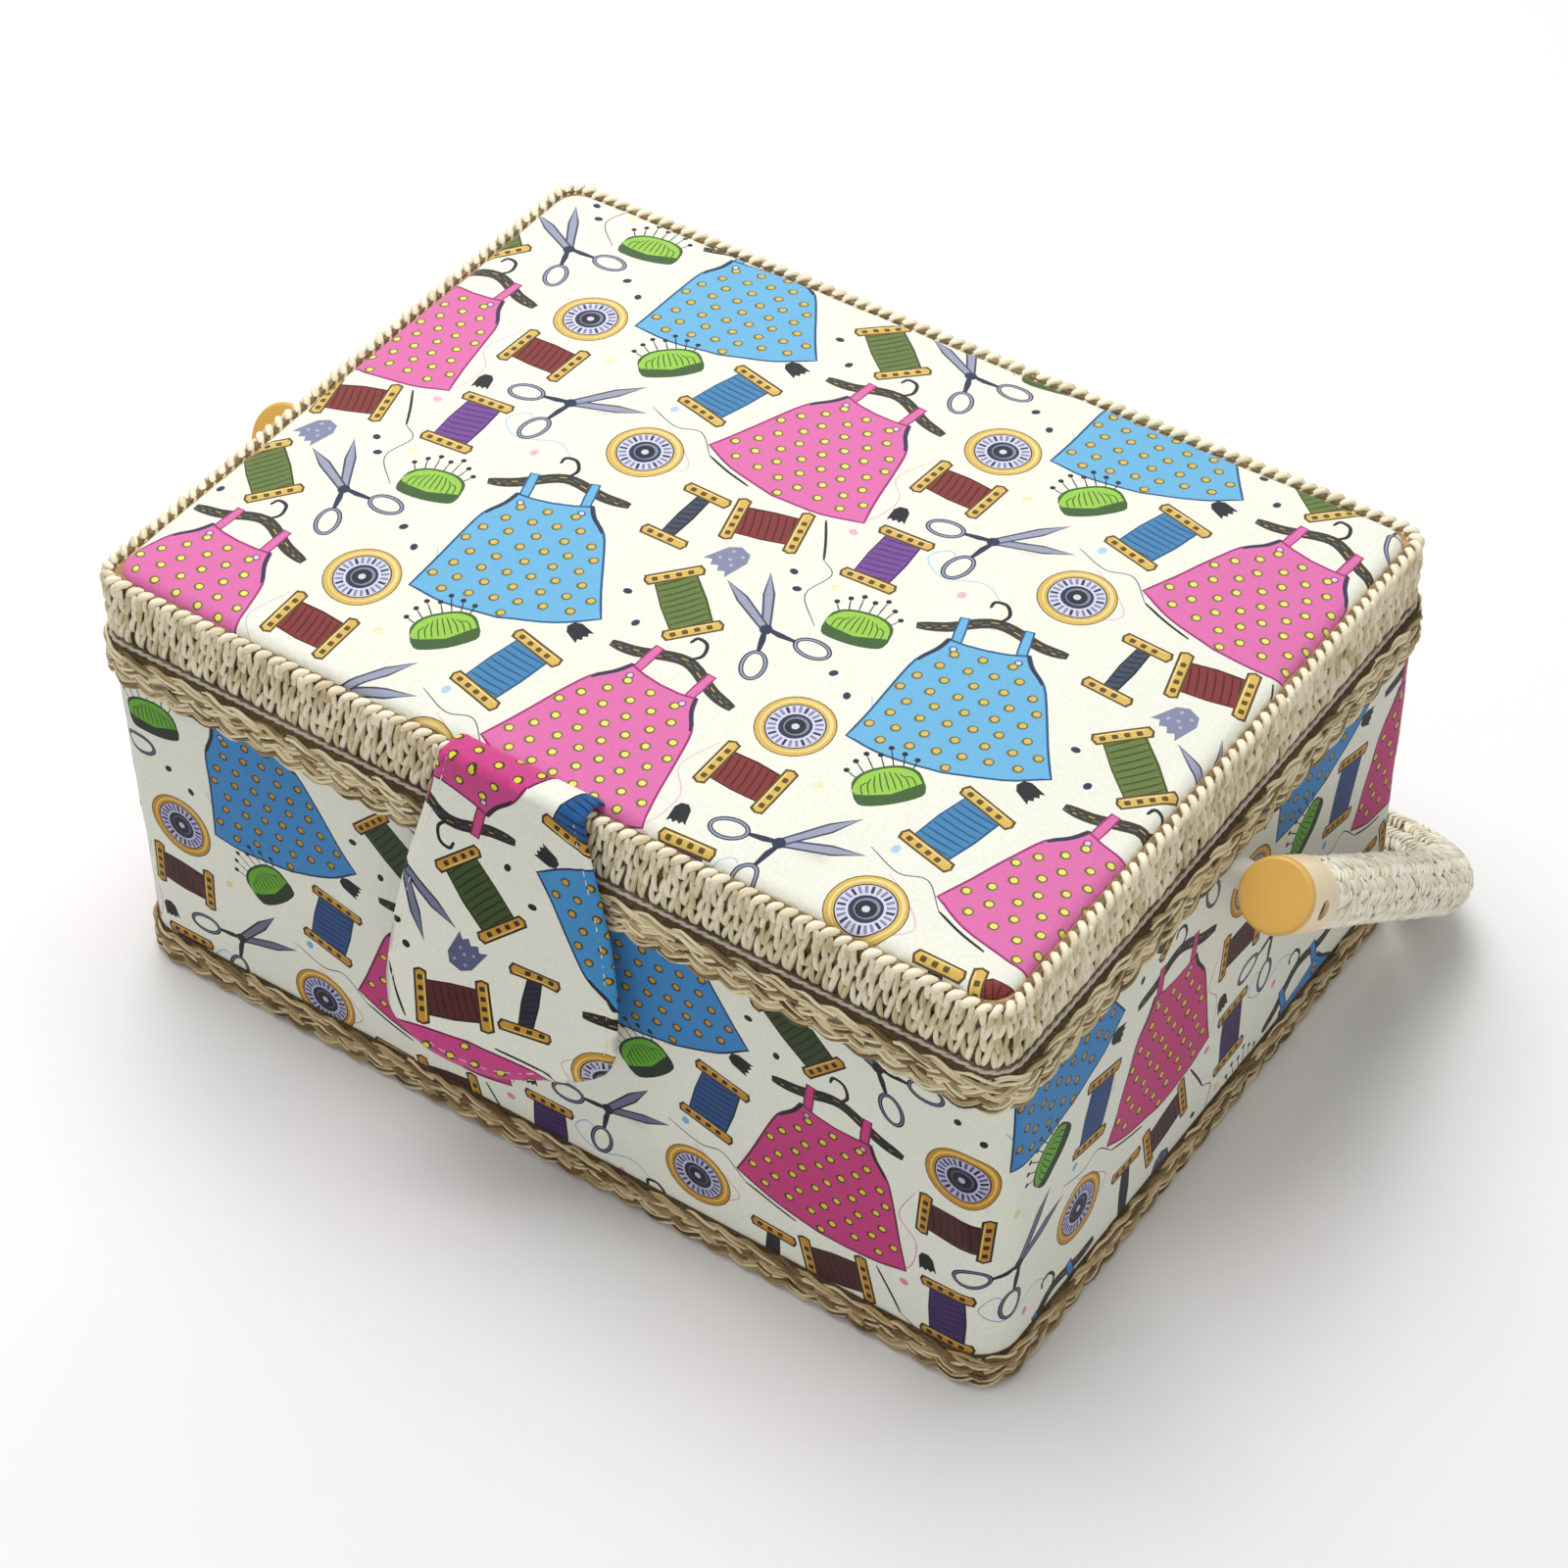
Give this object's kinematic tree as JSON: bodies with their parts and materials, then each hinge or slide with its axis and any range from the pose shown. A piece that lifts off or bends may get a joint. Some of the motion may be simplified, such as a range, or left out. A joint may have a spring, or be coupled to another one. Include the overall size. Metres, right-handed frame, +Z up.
{
  "type": "sewing box with trays",
  "caption": "Rectangular fabric-covered sewing box with padded hinged lid, raffia braid rim, closing tab, swing handle and lift-out compartment trays.",
  "frame": {"origin": "centre of the foot on the surface it stands on", "axes": "+X right along the long front, +Y towards the hinge at the back, +Z up; the closing tab is on the -Y side"},
  "size_m": [0.3614, 0.2648, 0.1548],
  "materials": {
    "printed_cotton": "plain-woven cotton with a sewing-notions print",
    "lining_cotton": "plain-woven cream cotton",
    "pincushion_cotton": "plain-woven pink cotton",
    "bottom_cloth": "non-woven felt",
    "natural_raffia": "crocheted and plaited natural raffia",
    "brown_raffia": "plaited brown raffia",
    "fibreboard": "bare fibreboard",
    "foam": "polyester foam",
    "core_plastic": "extruded rod",
    "cream_plastic": "moulded, satin",
    "amber_plastic": "moulded, satin",
    "clear_plastic": "clear moulded",
    "bronze_metal": "antique bronze plating",
    "steel": "nickel plated",
    "tray_plastic": "moulded, translucent white"
  },
  "bodies": {
    "box": {"base_cloth": "bottom_cloth", "base_board": "fibreboard", "front_wall_board": "fibreboard", "rear_wall_board": "fibreboard", "left_wall_board": "fibreboard", "right_wall_board": "fibreboard", "body_fabric_cover": "printed_cotton", "body_lining": "lining_cotton", "floor_pad": "lining_cotton", "body_top_braid": "natural_raffia", "base_braid": "brown_raffia", "front_tray_ledge": "lining_cotton", "rear_tray_ledge": "lining_cotton", "snap_socket": "steel", "hinge_cloth": "printed_cotton", "pivot_screws": "bronze_metal", "pivot_nuts": "steel", "pivot_spacer_left": "clear_plastic", "pivot_spacer_right": "clear_plastic"},
    "lid": {"lid_frame_front": "fibreboard", "lid_frame_rear": "fibreboard", "lid_frame_left": "fibreboard", "lid_frame_right": "fibreboard", "lid_board": "fibreboard", "lid_foam_pad": "foam", "lid_fabric_cover": "printed_cotton", "lid_lining": "lining_cotton", "lid_rim_braid": "natural_raffia", "lid_rim_cord": "natural_raffia", "lid_pocket": "lining_cotton", "lid_pincushion": "pincushion_cotton", "closure_tab_root": "printed_cotton"},
    "tab": {"closure_tab": "printed_cotton", "snap_stud": "steel"},
    "handle": {"handle_core": "core_plastic", "handle_wrap": "natural_raffia", "handle_sleeve_left": "cream_plastic", "handle_sleeve_right": "cream_plastic", "handle_plug_left": "amber_plastic", "handle_plug_right": "amber_plastic"},
    "left_tray": {"tray_left": "tray_plastic", "tray_left_divider": "tray_plastic"},
    "right_tray": {"tray_right": "tray_plastic", "tray_right_divider": "tray_plastic"}
  },
  "joints": [
    {"name": "lid_hinge", "type": "hinge", "parent": "box", "child": "lid", "pos_m": [0, 0.1148, 0.1256], "axis": [-1, 0, 0], "range_deg": [0, 105], "deforming": ["hinge_cloth"]},
    {"name": "tab_fold", "type": "hinge", "parent": "lid", "child": "tab", "pos_m": [0, -0.1129, 0.1513], "axis": [-1, 0, 0], "range_deg": [0, 100]},
    {"name": "handle_swing", "type": "hinge", "parent": "box", "child": "handle", "pos_m": [0, 0, 0.111], "axis": [1, 0, 0], "range_deg": [0, 257]},
    {"name": "left_tray_lift", "type": "slide", "parent": "box", "child": "left_tray", "axis": [0, 0, 1], "range_m": [0, 0.046]},
    {"name": "right_tray_lift", "type": "slide", "parent": "box", "child": "right_tray", "axis": [0, 0, 1], "range_m": [0, 0.046]}
  ],
  "couplings": [
    {"joint": "left_tray_lift", "follows": "lid_hinge", "m_per_rad": 0.025},
    {"joint": "right_tray_lift", "follows": "lid_hinge", "m_per_rad": 0.025}
  ]
}
